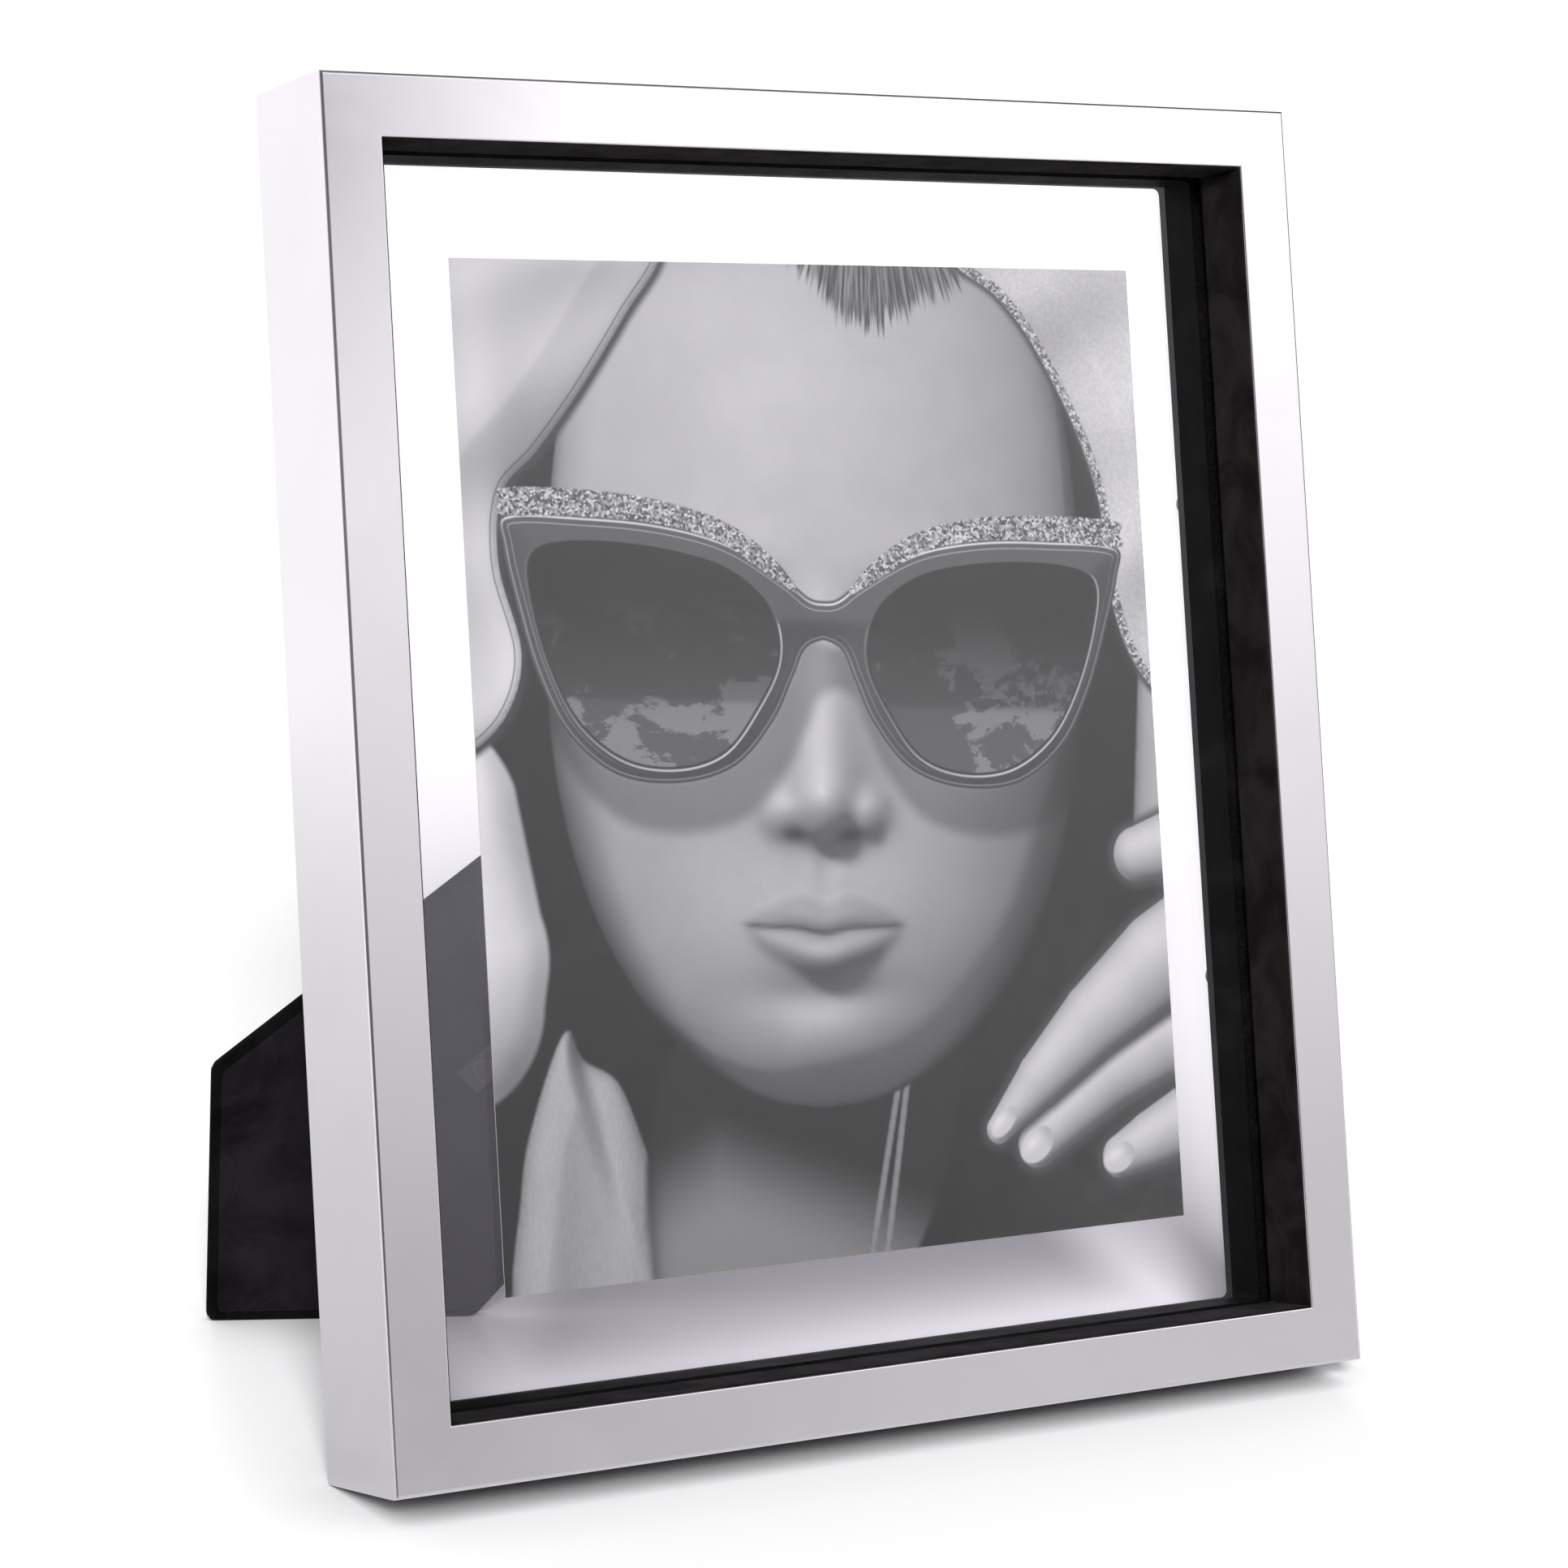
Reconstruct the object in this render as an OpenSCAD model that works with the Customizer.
// Floating picture frame with metal-clad rails, a print held between two sheets of glass, and a corner easel
// whose single leg props it upright or sideways.
// Millimetres. X runs to the right, Y to the back and Z up, and the frame stands open on the plane Z = 0.

/* [Frame] */
// overall width, left side to right side
frame_width = 286; // [250:1:340]
// overall height, bottom edge to top edge
frame_height = 337; // [300:1:380]
// front face to back edge
frame_depth = 38; // [34:0.5:44]
// width of the metal face seen from the front
face_width = 16; // [14:0.5:20]
// thickness of the metal cladding
metal_thickness = 0.8; // [0.6:0.1:1.2]
// rounding of the cladding's two long outer edges
edge_radius = 1; // [0.5:0.1:1.2]
// rounding of the metal edge round the opening
lip_radius = 0.4; // [0.2:0.1:0.5]
// how far the velvet laps over that edge
lip_cover = 0.4; // [0.3:0.1:0.8]
// how far the cladding turns in over the back of the rails
return_width = 5; // [3:0.5:5.5]
// thickness of the velvet strips and of the back fillet, which form the rebate
rebate = 3; // [2.5:0.1:3.5]

/* [Glass and print] */
// width of the print
print_width = 203.2; // [150:0.1:210]
// height of the print
print_height = 254; // [200:0.1:260]
// thickness of the print paper
print_thickness = 0.25; // [0.2:0.05:0.4]
// front face of the frame to the front glass
glass_setback = 17.65; // [12:0.05:19]
// thickness of each sheet of glass
glass_thickness = 2; // [1.8:0.1:2.5]
// thickness of the foam strip behind the back glass
foam_thickness = 0.9; // [0.5:0.1:1.5]
// radius of the back fillet's inside corners
fillet_radius = 2; // [1:0.5:5]

/* [Back fixings] */
// upper and lower buttons on each side rail, distance from the middle
side_button_offset = 65; // [40:1:72]
// left and right buttons on the top and bottom rails, distance from the middle
end_button_offset = 45; // [20:1:50]
// pivot of a button, distance from the frame's outer edge
button_inset = 8.5; // [8.4:0.1:9]
// pivot of a button to its tip
button_reach = 7.2; // [6:0.1:7.3]
// half the width of a button
button_half_width = 2.8; // [2.4:0.1:3]
// thickness of a button
button_thickness = 1; // [0.6:0.1:1.2]

/* [Easel] */
// angle between the open leg and the back of the frame, in degrees
open_angle = 27.3; // [20:0.1:32]
// hinge axis to the tip of the foot
leg_length = 286; // [260:1:300]
// folded tip, distance in from the frame's left and bottom edges
foot_inset = 4; // [2:0.5:8]
// length of each of the two foot edges that meet at the tip
foot_edge = 73; // [60:1:80]
// width of the leg at the hinge
leg_top_width = 64; // [56:1:70]
// thickness of the leg, cover included
leg_thickness = 4; // [3.4:0.1:6]
// thickness of the velvet covers
cover_thickness = 0.5; // [0.3:0.1:0.8]
// width of the cover turned in over the leg's front face
cover_border = 2.6; // [2:0.1:5]
// width of the block that carries the hinge
pedestal_width = 56; // [52:1:60]
// hinge end of that block to its lower end
pedestal_length = 123; // [115:1:130]
// thickness of the adhesive pads that hold it to the back glass
pad_thickness = 1; // [0.6:0.1:1.5]
// front face of the frame to the back of the block
pedestal_back = 37.6; // [37:0.1:45]
// foot tip to the rivet that holds the stay ribbon
ribbon_from_tip = 102; // [95:1:110]
// hinge axis to the ribbon's anchor on the block
anchor_from_hinge = 112; // [100:1:115]
// width of the ribbon
ribbon_width = 8; // [6:0.5:12]
// thickness of the ribbon
ribbon_thickness = 0.4; // [0.3:0.05:0.6]

/* [Hinge] */
// width of the hinge along its pin
hinge_width = 48; // [40:1:50]
// hinge axis to the far end of a leaf
leaf_length = 22; // [18:1:26]
// thickness of a leaf
leaf_thickness = 0.8; // [0.6:0.1:1]
// gap between the two leaves when they are folded together
leaf_gap = 0.3; // [0.2:0.05:0.5]
// radius of the knuckles
knuckle_radius = 1.9; // [1.8:0.05:2.2]
// radius of the hinge pin
pin_radius = 1; // [0.8:0.05:1.1]

/* [Hidden] */
$fn = 96;
// space left between parts that rest on each other
seat = 0.02;
// radial play of a part that turns on a pin or a screw
play = 0.05;
// how far a cutting shape runs past the face it cuts
past = 1;

// rails, measured inwards from the frame's outer edge and backwards from its front face
core_start = metal_thickness + seat;
core_inner = face_width - rebate;
core_back = frame_depth - core_start;
metal_inner = face_width - lip_cover;
velvet_front = lip_radius + 0.05;
rebate_outer = core_inner + 0.3;
ring_back = core_back + seat + 0.2;

// glass stack, from the front
glass_width = frame_width - 2 * rebate_outer;
glass_height = frame_height - 2 * rebate_outer;
glass_back = glass_setback + glass_thickness;
print_front = glass_back + 0.05;
print_back = print_front + print_thickness;
rear_glass_front = print_back + 0.05;
rear_glass_back = rear_glass_front + glass_thickness;
foam_back = rear_glass_back + seat + foam_thickness;
foam_outer = rebate_outer + 0.2;
foam_inner = face_width - 0.5;
fillet_front = foam_back + seat;
fillet_back = core_back + 0.12;

// turn buttons and their screws
button_front = ring_back + 0.08;
button_back = button_front + button_thickness;
screw_radius = 1.3;
screw_depth = 10;
screw_head_radius = 2.4;
screw_head_height = 1.1;
screw_head_bevel = 0.7;
screw_slot = 0.6;
screw_shank = screw_depth + button_back + play - core_back;

// corner nails in the back of the core
nail_leg = 5;
nail_thickness = 0.5;
nail_depth = 9;
nail_inset = 5;

// hinge and leg
leaf_face = leaf_gap / 2 + leaf_thickness;
hinge_depth = pedestal_back + leaf_face;
pin_head_height = 0.7;
pin_head_radius = pin_radius + 0.5;
hinge_clear = 2.6;
leaf_clear = knuckle_radius + 0.4;
knuckle_count = 5;
knuckle_gap = 0.3;
knuckle_pitch = (hinge_width + knuckle_gap) / knuckle_count;
leaf_screw_radius = 0.8;
leaf_screw_head_radius = 1.6;
leaf_screw_from_axis = [8, 17];
leaf_screw_across = 17;
leaf_screw_depth = 9;
leg_outer = leaf_face + leg_thickness;
board_front = leaf_face + cover_thickness + seat;
board_back = leg_outer - cover_thickness - seat;
lining_face = leaf_face + seat;
rivet_head_radius = 3;
rivet_head_height = 1;
rivet_radius = 1.2;
rivet_head_bevel = 0.8;
rivet_cover = 0.3;
leg_rivet_depth = board_back - leaf_gap / 2 - rivet_cover;
tab_half = 6;
foot_radius = 2;
heel_radius = 3.5;
top_radius = 1.5;
arc_steps = 6;

// block that carries the hinge, as heights above the hinge plane
pad_back = rear_glass_back + seat + pad_thickness;
block_front = hinge_level(pad_back + seat);
block_back = -leaf_face;
block_radius = 3;
pad_margin = 6;
pad_length = 40;
anchor_depth = 8;

// the folded leg points into the frame's lower left corner, so the hinge lies on that corner's diagonal
hinge_place = foot_inset + leg_length / sqrt(2);
// open foot tip: height above the frame's bottom edge, and depth behind its front face
tip_height = hinge_place - (leg_length * cos(open_angle) - leaf_face * sin(open_angle)) / sqrt(2);
tip_depth = hinge_depth + leg_length * sin(open_angle) + leaf_face * cos(open_angle);
// the table touches the frame's rounded back bottom edge and the foot
rise = tip_height - edge_radius;
run = tip_depth - frame_depth + edge_radius;
lean = atan2(rise, run) + asin(edge_radius / norm([rise, run]));
// both foot edges lie flat on the table, one upright and one sideways
across_drop = cos(lean) / sqrt(2);
along_drop = cos(open_angle) * cos(lean) / sqrt(2) + sin(open_angle) * sin(lean);
foot_angle = atan2(across_drop, along_drop);
// the origin is under the middle of the standing frame's bounding box
front_reach = (frame_depth - 2 * edge_radius) * cos(lean) + edge_radius;
back_reach = (run + leg_thickness * cos(open_angle)) * cos(lean) + rise * sin(lean);
stand_shift = (front_reach - back_reach) / 2;

heel_across = foot_edge * cos(foot_angle);
heel_along = leg_length - foot_edge * sin(foot_angle);
leg_corners = [
  [-leg_top_width / 2, hinge_clear],
  [leg_top_width / 2, hinge_clear],
  [heel_across, heel_along],
  [0, leg_length],
  [-heel_across, heel_along]
];
leg_radii = [top_radius, top_radius, heel_radius, foot_radius, heel_radius];

// the stay ribbon seen along the hinge axis: flat on the block, across to the open leg, then flat on the leg
ribbon_mid = leaf_face - seat - ribbon_thickness / 2;
ribbon_face = ribbon_thickness / 2 + seat;
ribbon_reach = leg_length - ribbon_from_tip;
ribbon_rivet_length = leg_thickness - 2 * rivet_cover;
function leg_point(along) = [
  along * cos(open_angle) - ribbon_mid * sin(open_angle),
  along * sin(open_angle) + ribbon_mid * cos(open_angle)
];
ribbon_path = [
  [anchor_from_hinge - tab_half, -ribbon_mid],
  [anchor_from_hinge + tab_half, -ribbon_mid],
  leg_point(ribbon_reach - tab_half),
  leg_point(ribbon_reach + tab_half)
];

// depth behind the frame's front face, as height above the hinge plane
function hinge_level(depth) = depth - hinge_depth;
function unit(v) = v / norm(v);
function turn_left(v) = [-v[1], v[0]];
function wrap(list, i) = list[(i + len(list)) % len(list)];

// corner i of an anticlockwise outline, moved in by d from both its edges
function inset_corner(pts, i, d) =
  let (a = unit(wrap(pts, i) - wrap(pts, i - 1)))
  let (b = unit(wrap(pts, i + 1) - wrap(pts, i)))
  pts[i] + d * (turn_left(a) + turn_left(b)) / (1 + a * b);
function inset(pts, d) = [for (i = [0:len(pts) - 1]) inset_corner(pts, i, d)];

// corner i of an anticlockwise convex outline, rounded to radius r
function corner_arc(pts, i, r) =
  let (a = unit(wrap(pts, i) - wrap(pts, i - 1)))
  let (b = unit(wrap(pts, i + 1) - wrap(pts, i)))
  let (middle = pts[i] + r * (turn_left(a) + turn_left(b)) / (1 + a * b))
  let (from = atan2(-a[0], a[1]))
  let (sweep = acos(a * b))
  let (step = sweep / arc_steps)
  [for (k = [0:arc_steps]) middle + r * [cos(from + k * step), sin(from + k * step)]];
function rounded(pts, radii) = [for (i = [0:len(pts) - 1]) each corner_arc(pts, i, radii[i])];

// leans the upright frame back and stands it on its rounded back bottom edge
module stand()
  translate([0, stand_shift, edge_radius])
    rotate([-lean, 0, 0])
      translate([0, edge_radius - frame_depth, -edge_radius])
        children();

// each rail is drawn along X with its outer edge on Z = 0, then moved to its side of the frame
module at_bottom() stand() translate([-frame_width / 2, 0, 0]) children();
module at_top() stand() translate([-frame_width / 2, 0, frame_height]) mirror([0, 0, 1]) children();
module at_left() stand() translate([-frame_width / 2, 0, frame_height]) rotate([0, 90, 0]) children();
module at_right()
  stand() mirror([1, 0, 0]) translate([-frame_width / 2, 0, frame_height]) rotate([0, 90, 0]) children();

// X across the leg, Y from the hinge axis towards the folded foot, Z to the back
module at_hinge()
  stand()
    translate([hinge_place - frame_width / 2, hinge_depth, hinge_place])
      rotate([0, 45, 0])
        rotate([-90, 0, 0])
          children();
module on_leg() at_hinge() rotate([open_angle, 0, 0]) children();

// a rail of the given length from a section drawn as [depth, distance in from the edge], mitred at both ends
module rail(length) {
  intersection() {
    rotate([90, 0, 90]) linear_extrude(length) children();
    translate([0, frame_depth + past, 0])
      rotate([90, 0, 0])
        linear_extrude(frame_depth + 2 * past)
          polygon([[0, 0], [length, 0], [length / 2, length / 2]]);
  }
}

module section_box(front, back, outer, inner)
  translate([front, outer]) square([back - front, inner - outer]);

// a flat frame between two depths, measured in from the outer edge
module ring(front, back, outer, inner, radius = 0) {
  stand()
    translate([0, back, 0])
      rotate([90, 0, 0])
        linear_extrude(back - front)
          difference() {
            translate([outer - frame_width / 2, outer])
              square([frame_width - 2 * outer, frame_height - 2 * outer]);
            translate([inner - frame_width / 2, inner])
              rounded_square(frame_width - 2 * inner, frame_height - 2 * inner, radius);
          }
}

module rounded_square(width, height, radius) {
  if (radius > 0) {
    translate([radius, 0]) square([width - 2 * radius, height]);
    translate([0, radius]) square([width, height - 2 * radius]);
    for (x = [radius, width - radius]) {
      for (y = [radius, height - radius]) {
        translate([x, y]) circle(radius);
      }
    }
  } else {
    square([width, height]);
  }
}

// a plate centred in the opening between two depths
module pane(front, back, width, height) {
  stand()
    translate([-width / 2, front, (frame_height - height) / 2])
      cube([width, back - front, height]);
}

// metal-clad rails

module channel_section() {
  difference() {
    union() {
      translate([0, edge_radius]) square([frame_depth, metal_inner - edge_radius - lip_radius]);
      translate([edge_radius, 0]) square([frame_depth - 2 * edge_radius, metal_inner / 2]);
      translate([lip_radius, metal_inner / 2]) square([frame_depth - lip_radius, metal_inner / 2]);
      translate([edge_radius, edge_radius]) circle(edge_radius);
      translate([frame_depth - edge_radius, edge_radius]) circle(edge_radius);
      translate([lip_radius, metal_inner - lip_radius]) circle(lip_radius);
    }
    section_box(metal_thickness, frame_depth - metal_thickness, metal_thickness, face_width + past);
    section_box(frame_depth - 2 * metal_thickness, frame_depth + past, return_width, face_width + past);
  }
}

module clad_colour() color([0.78, 0.78, 0.8]) children();
module clad_top() clad_colour() at_top() rail(frame_width) channel_section();
module clad_bottom() clad_colour() at_bottom() rail(frame_width) channel_section();
module clad_left() clad_colour() at_left() rail(frame_height) channel_section();
module clad_right() clad_colour() at_right() rail(frame_height) channel_section();

// a nail bent to a right angle, with its bend on the mitre, drawn from the frame's lower left corner
module nail(grow) {
  translate([-grow, -nail_depth - grow, -grow]) {
    cube([nail_leg + 2 * grow, nail_depth + 2 * grow, nail_thickness + 2 * grow]);
    cube([nail_thickness + 2 * grow, nail_depth + 2 * grow, nail_leg + 2 * grow]);
  }
}

module at_corners() {
  for (side = [0, 1]) {
    for (end = [0, 1]) {
      stand()
        mirror([side, 0, 0])
          translate([nail_inset - frame_width / 2, core_back, end * frame_height])
            mirror([0, 0, end])
              translate([0, 0, nail_inset])
                children();
    }
  }
}

module corner_nails() color([0.6, 0.61, 0.63]) at_corners() nail(0);

// a button's screw hole, drawn with the button's pivot on the Y axis
module screw_hole(radius, front) {
  translate([0, front, 0]) rotate([-90, 0, 0]) cylinder(h = frame_depth - front + past, r = radius);
}

// the two screw holes of one rail, at the given distance from its middle
module button_places(length, offset) {
  for (x = [length / 2 - offset, length / 2 + offset]) {
    translate([x, 0, button_inset]) children();
  }
}

module core_rail(length, offset) {
  difference() {
    rail(length) section_box(core_start, core_back, core_start, core_inner);
    button_places(length, offset) screw_hole(screw_radius + seat, core_back - screw_depth - seat);
    for (end = [0, 1]) {
      translate([end * length, 0, 0])
        mirror([end, 0, 0])
          translate([nail_inset, core_back + seat, nail_inset])
            nail(seat);
    }
  }
}

module core_colour() color([0.62, 0.5, 0.36]) children();
module core_top() core_colour() at_top() core_rail(frame_width, end_button_offset);
module core_bottom() core_colour() at_bottom() core_rail(frame_width, end_button_offset);
module core_left() core_colour() at_left() core_rail(frame_height, side_button_offset);
module core_right() core_colour() at_right() core_rail(frame_height, side_button_offset);

// velvet strips in front of the glass, with a lap over the edge of the metal

module lining_section() {
  section_box(core_start, glass_setback - seat, core_inner + seat, face_width);
  section_box(velvet_front, core_start + past, metal_inner + seat, face_width);
}
module lining_colour() color([0.05, 0.045, 0.05]) children();
module lining_top() lining_colour() at_top() rail(frame_width) lining_section();
module lining_bottom() lining_colour() at_bottom() rail(frame_width) lining_section();
module lining_left() lining_colour() at_left() rail(frame_height) lining_section();
module lining_right() lining_colour() at_right() rail(frame_height) lining_section();

// glass and print

module front_glass()
  color([0.8, 0.86, 0.85, 0.35]) pane(glass_setback, glass_back, glass_width, glass_height);
module print()
  color([0.55, 0.55, 0.55]) pane(print_front, print_back, print_width, print_height);
module rear_glass()
  color([0.8, 0.86, 0.85, 0.35]) pane(rear_glass_front, rear_glass_back, glass_width, glass_height);
module glazing_foam()
  color([0.12, 0.12, 0.12]) ring(rear_glass_back + seat, foam_back, foam_outer, foam_inner);
module rear_fillet()
  color([0.06, 0.06, 0.065]) ring(fillet_front, fillet_back, rebate_outer, face_width, fillet_radius);

// black paper over the back of the core, with holes for the screws
module back_ring() {
  color([0.08, 0.08, 0.08])
    difference() {
      ring(core_back + seat, ring_back, return_width + 0.2, core_inner);
      all_button_places() screw_hole(screw_radius + 0.3, core_back - past);
    }
}

// turn buttons

module all_button_places() {
  at_top() button_places(frame_width, end_button_offset) children();
  at_bottom() button_places(frame_width, end_button_offset) children();
  at_left() button_places(frame_height, side_button_offset) children();
  at_right() button_places(frame_height, side_button_offset) children();
}

module button() {
  straight = button_reach - button_half_width;
  color([0.3, 0.3, 0.31])
    translate([0, button_back, 0])
      rotate([90, 0, 0])
        linear_extrude(button_thickness)
          difference() {
            union() {
              circle(button_half_width);
              translate([-button_half_width, 0]) square([2 * button_half_width, straight]);
              translate([0, straight]) circle(button_half_width);
            }
            circle(screw_radius + play);
          }
}

module place_button(length, offset) translate([length / 2 + offset, 0, button_inset]) button();

module turn_button_top_left() at_top() place_button(frame_width, -end_button_offset);
module turn_button_top_right() at_top() place_button(frame_width, end_button_offset);
module turn_button_bottom_left() at_bottom() place_button(frame_width, -end_button_offset);
module turn_button_bottom_right() at_bottom() place_button(frame_width, end_button_offset);
module turn_button_left_upper() at_left() place_button(frame_height, -side_button_offset);
module turn_button_left_lower() at_left() place_button(frame_height, side_button_offset);
module turn_button_right_upper() at_right() place_button(frame_height, -side_button_offset);
module turn_button_right_lower() at_right() place_button(frame_height, side_button_offset);

module turn_button_screws() {
  color([0.7, 0.7, 0.72])
    all_button_places()
      difference() {
        translate([0, core_back - screw_depth, 0])
          rotate([-90, 0, 0]) {
            cylinder(h = screw_shank, r = screw_radius);
            translate([0, 0, screw_shank]) {
              cylinder(h = screw_head_height / 2, r = screw_head_radius);
              translate([0, 0, screw_head_height / 2])
                cylinder(
                  h = screw_head_height / 2,
                  r1 = screw_head_radius,
                  r2 = screw_head_radius - screw_head_bevel
                );
            }
          }
        translate([-screw_head_radius - past, button_back + screw_head_height / 2, -screw_slot / 2])
          cube([2 * (screw_head_radius + past), screw_head_height, screw_slot]);
      }
}

// easel block on the back glass

module block_outline(shrink) {
  translate([shrink - pedestal_width / 2, hinge_clear + shrink])
    rounded_square(pedestal_width - 2 * shrink, pedestal_length - 2 * shrink, block_radius - shrink);
}

module leaf_screws_at(side) {
  for (y = leaf_screw_from_axis) {
    for (x = [-leaf_screw_across, leaf_screw_across]) {
      translate([x, y, side * leaf_gap / 2]) mirror([0, 0, side > 0 ? 1 : 0]) children();
    }
  }
}

// a countersunk fixing that points along -Z with its head flush at Z = 0
module countersunk(depth, grow) {
  translate([0, 0, -leaf_thickness])
    cylinder(h = leaf_thickness, r1 = leaf_screw_radius + grow, r2 = leaf_screw_head_radius + grow);
  translate([0, 0, -depth - grow]) cylinder(h = depth + grow - leaf_thickness, r = leaf_screw_radius + grow);
}

module pedestal_pads() {
  color([0.35, 0.35, 0.36])
    at_hinge()
      for (y = [pad_margin, pedestal_length - pad_margin - pad_length]) {
        translate([pad_margin - pedestal_width / 2, hinge_clear + y, hinge_level(rear_glass_back + seat)])
          cube([pedestal_width - 2 * pad_margin, pad_length, pad_thickness]);
      }
}

// the anchor's shaft, from its blind end in the block to just under its head
module anchor_shaft(grow, top) {
  floor_level = -leaf_face - anchor_depth - grow;
  translate([0, anchor_from_hinge, floor_level]) cylinder(h = top - floor_level, r = rivet_radius + grow);
}

module pedestal() {
  color([0.62, 0.5, 0.36])
    at_hinge()
      difference() {
        translate([0, 0, block_front])
          linear_extrude(block_back - cover_thickness - seat - block_front)
            block_outline(cover_thickness + seat);
        leaf_screws_at(-1) countersunk(leaf_screw_depth, seat);
        anchor_shaft(seat, 0);
      }
}

module pedestal_cover() {
  color([0.05, 0.045, 0.05])
    at_hinge()
      difference() {
        translate([0, 0, block_front]) linear_extrude(block_back - seat - block_front) block_outline(0);
        translate([0, 0, block_front - past])
          linear_extrude(block_back - cover_thickness - block_front + past - seat)
            block_outline(cover_thickness);
        leaf_screws_at(-1) countersunk(leaf_screw_depth, 2 * seat);
        anchor_shaft(2 * seat, 0);
      }
}

// butt hinge

// the knuckles whose number has the given remainder when halved
module knuckles(which) {
  for (i = [which:2:knuckle_count - 1]) {
    translate([i * knuckle_pitch - hinge_width / 2, 0, 0]) children();
  }
}

// a leaf on the +Z side of the hinge axis
module leaf(which) {
  difference() {
    union() {
      translate([-hinge_width / 2, leaf_clear, leaf_gap / 2])
        cube([hinge_width, leaf_length - leaf_clear, leaf_thickness]);
      knuckles(which) {
        rotate([0, 90, 0]) cylinder(h = knuckle_pitch - knuckle_gap, r = knuckle_radius);
        translate([0, 0, leaf_gap / 2])
          cube([knuckle_pitch - knuckle_gap, leaf_clear + seat, leaf_thickness]);
      }
    }
    translate([-hinge_width / 2 - past, 0, 0])
      rotate([0, 90, 0])
        cylinder(h = hinge_width + 2 * past, r = pin_radius + play);
    leaf_screws_at(1) countersunk(leaf_screw_depth, seat);
  }
}

module hinge_fixed_leaf() color([0.55, 0.55, 0.57]) at_hinge() mirror([0, 0, 1]) leaf(0);
module hinge_leg_leaf() color([0.55, 0.55, 0.57]) on_leg() leaf(1);

module hinge_pin() {
  color([0.65, 0.65, 0.67])
    at_hinge()
      translate([-hinge_width / 2 - play, 0, 0])
        rotate([0, 90, 0]) {
          cylinder(h = hinge_width + 2 * play, r = pin_radius);
          for (z = [-pin_head_height, hinge_width + 2 * play]) {
            translate([0, 0, z]) cylinder(h = pin_head_height, r = pin_head_radius);
          }
        }
}

module hinge_fixed_screws()
  color([0.7, 0.7, 0.72]) at_hinge() leaf_screws_at(-1) countersunk(leaf_screw_depth, 0);
module hinge_leg_rivets()
  color([0.7, 0.7, 0.72]) on_leg() leaf_screws_at(1) countersunk(leg_rivet_depth, 0);

// leg

module leg_outline(shrink) polygon(rounded(inset(leg_corners, shrink), leg_radii * (1 - shrink / 8)));

module leg_plate(front, back, shrink)
  translate([0, 0, front]) linear_extrude(back - front) leg_outline(shrink);

// the hole for the ribbon's rivet, open at the front of the leg
module leg_shaft(grow)
  translate([0, ribbon_reach, leaf_face - past])
    cylinder(h = board_back - rivet_cover - leaf_face + past, r = rivet_radius + grow);

module leg_board() {
  color([0.62, 0.5, 0.36])
    on_leg()
      difference() {
        leg_plate(board_front, board_back, cover_thickness + seat);
        leaf_screws_at(1) countersunk(leg_rivet_depth, seat);
        leg_shaft(seat);
      }
}

module leg_cover() {
  color([0.04, 0.035, 0.04])
    on_leg()
      difference() {
        leg_plate(leaf_face + seat, leg_outer, 0);
        leg_plate(board_front - seat, board_back + seat, cover_thickness);
        leg_plate(leaf_face - past, board_front, cover_border);
      }
}

module leg_lining() {
  color([0.09, 0.085, 0.09])
    on_leg()
      difference() {
        leg_plate(lining_face, board_front - seat, cover_border + 0.1);
        leaf_screws_at(1) countersunk(leg_thickness, 2 * seat);
        leg_shaft(2 * seat);
      }
}

// stay ribbon

// point i of an open path, moved sideways by d so that the path keeps its thickness round a bend
function path_side(pts, i, d) =
  let (last = len(pts) - 1)
  let (a = turn_left(unit(pts[max(i, 1)] - pts[max(i, 1) - 1])))
  let (b = turn_left(unit(pts[min(i, last - 1) + 1] - pts[min(i, last - 1)])))
  pts[i] + d * (a + b) / (1 + a * b);
function thick_path(pts, thickness) = [
  for (i = [0:len(pts) - 1]) path_side(pts, i, thickness / 2),
  for (i = [len(pts) - 1:-1:0]) path_side(pts, i, -thickness / 2)
];

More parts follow.
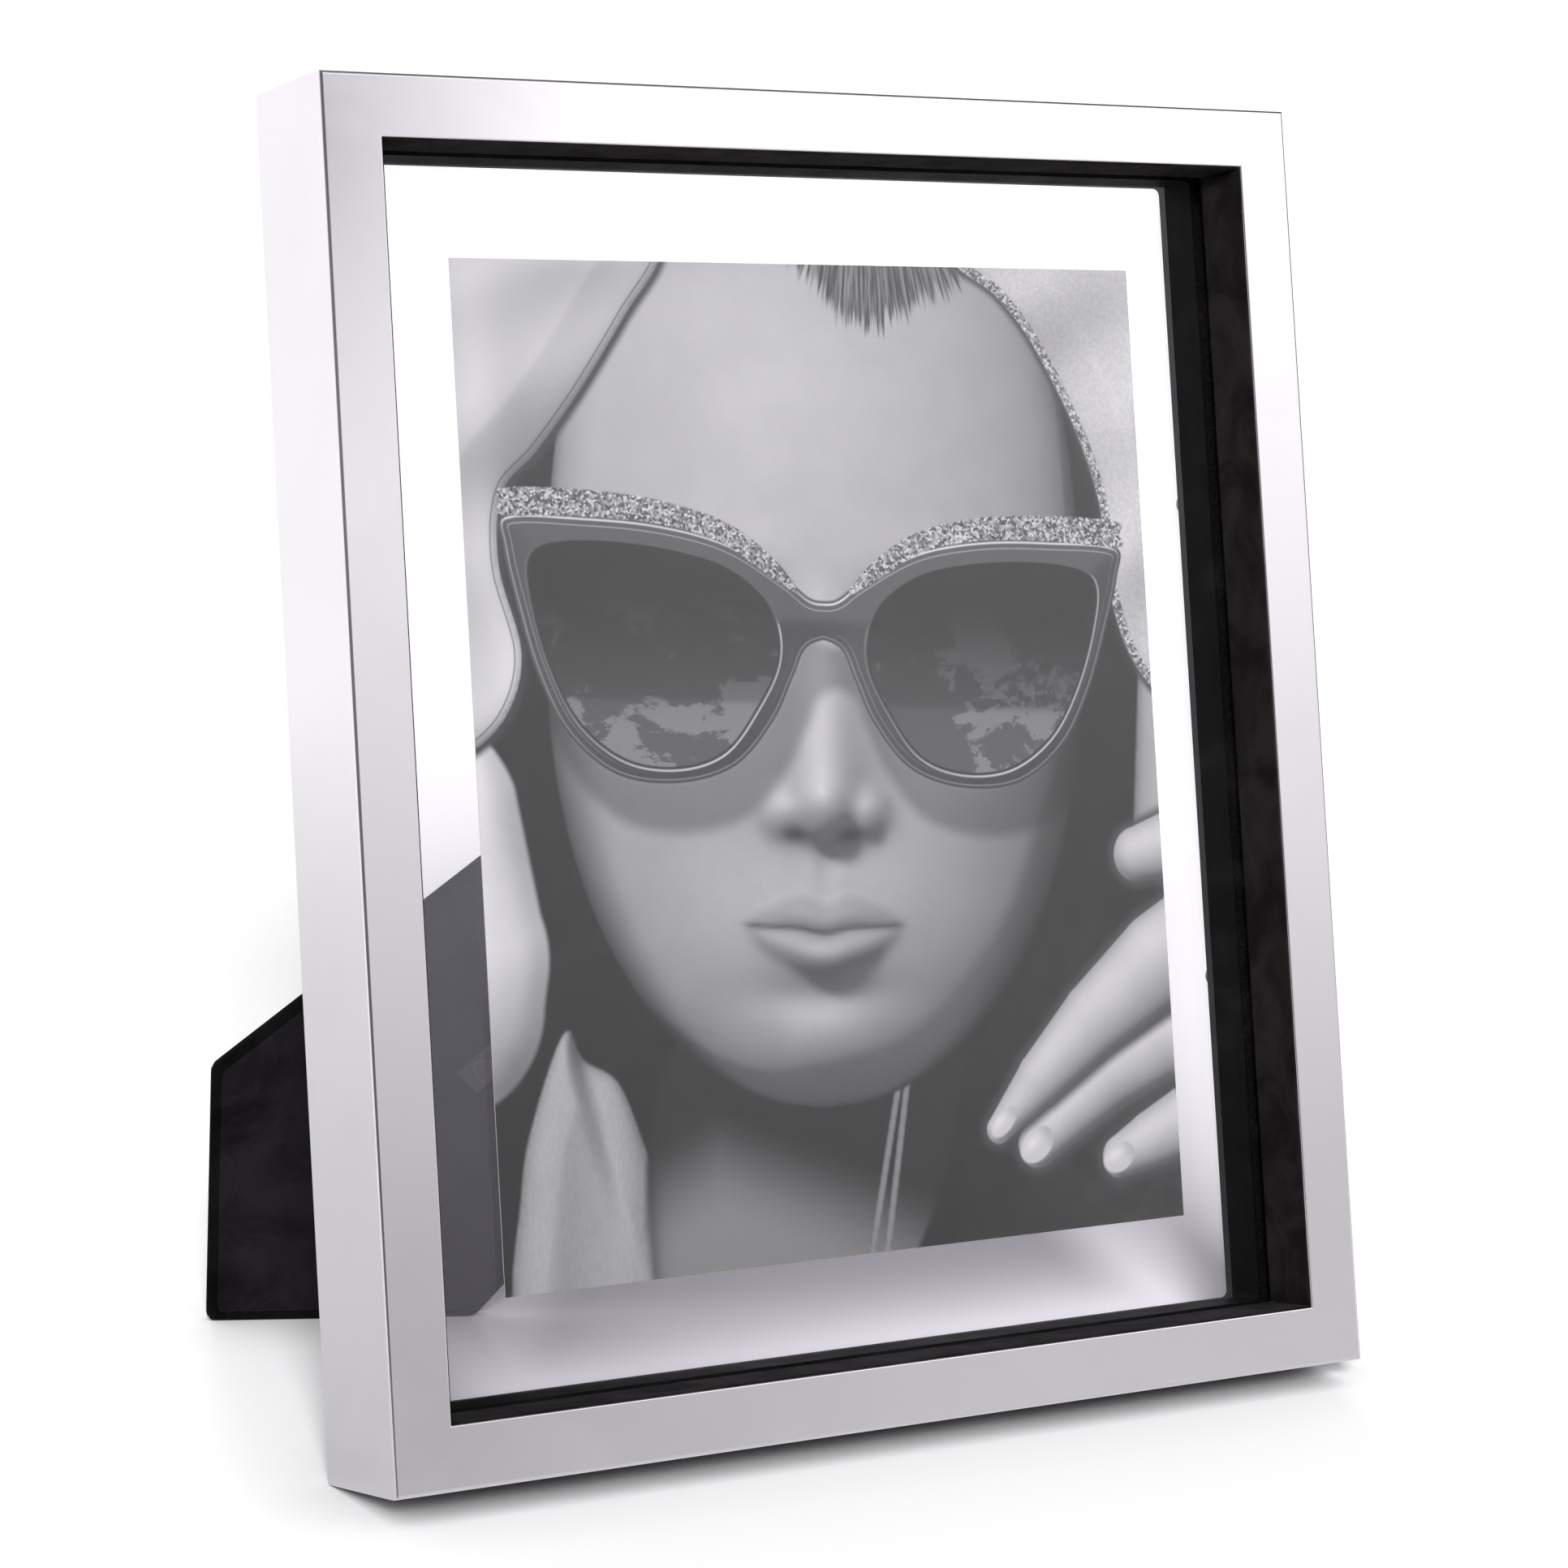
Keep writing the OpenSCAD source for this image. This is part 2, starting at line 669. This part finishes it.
// a hole for a rivet through the ribbon
module ribbon_hole(place)
  translate([0, place, -leg_thickness])
    cylinder(h = 2 * leg_thickness, r = rivet_radius + play);

module stay_ribbon() {
  color([0.06, 0.055, 0.06])
    at_hinge()
      difference() {
        translate([-ribbon_width / 2, 0, 0])
          rotate([90, 0, 90])
            linear_extrude(ribbon_width)
              polygon(thick_path(ribbon_path, ribbon_thickness));
        ribbon_hole(anchor_from_hinge);
        rotate([open_angle, 0, 0]) ribbon_hole(ribbon_reach);
      }
}

// a rivet head that faces -Z, with its underside at Z = 0
module rivet_head() {
  translate([0, 0, -rivet_head_height / 2]) cylinder(h = rivet_head_height / 2, r = rivet_head_radius);
  translate([0, 0, -rivet_head_height])
    cylinder(h = rivet_head_height / 2, r1 = rivet_head_radius - rivet_head_bevel, r2 = rivet_head_radius);
}

module ribbon_anchor() {
  color([0.2, 0.2, 0.21])
    at_hinge() {
      anchor_shaft(0, ribbon_face + seat - ribbon_mid);
      translate([0, anchor_from_hinge, ribbon_face - ribbon_mid])
        mirror([0, 0, 1])
          rivet_head();
    }
}

module ribbon_rivet() {
  color([0.2, 0.2, 0.21])
    on_leg() {
      translate([0, ribbon_reach, ribbon_mid - ribbon_face]) {
        rivet_head();
        translate([0, 0, -seat]) cylinder(h = ribbon_rivet_length, r = rivet_radius);
      }
    }
}

clad_top();
clad_bottom();
clad_left();
clad_right();
core_top();
core_bottom();
core_left();
core_right();
lining_top();
lining_bottom();
lining_left();
lining_right();
corner_nails();
front_glass();
print();
rear_glass();
glazing_foam();
rear_fillet();
back_ring();
turn_button_top_left();
turn_button_top_right();
turn_button_bottom_left();
turn_button_bottom_right();
turn_button_left_upper();
turn_button_left_lower();
turn_button_right_upper();
turn_button_right_lower();
turn_button_screws();
pedestal_pads();
pedestal();
pedestal_cover();
hinge_fixed_leaf();
hinge_fixed_screws();
hinge_pin();
hinge_leg_leaf();
hinge_leg_rivets();
leg_board();
leg_cover();
leg_lining();
stay_ribbon();
ribbon_anchor();
ribbon_rivet();
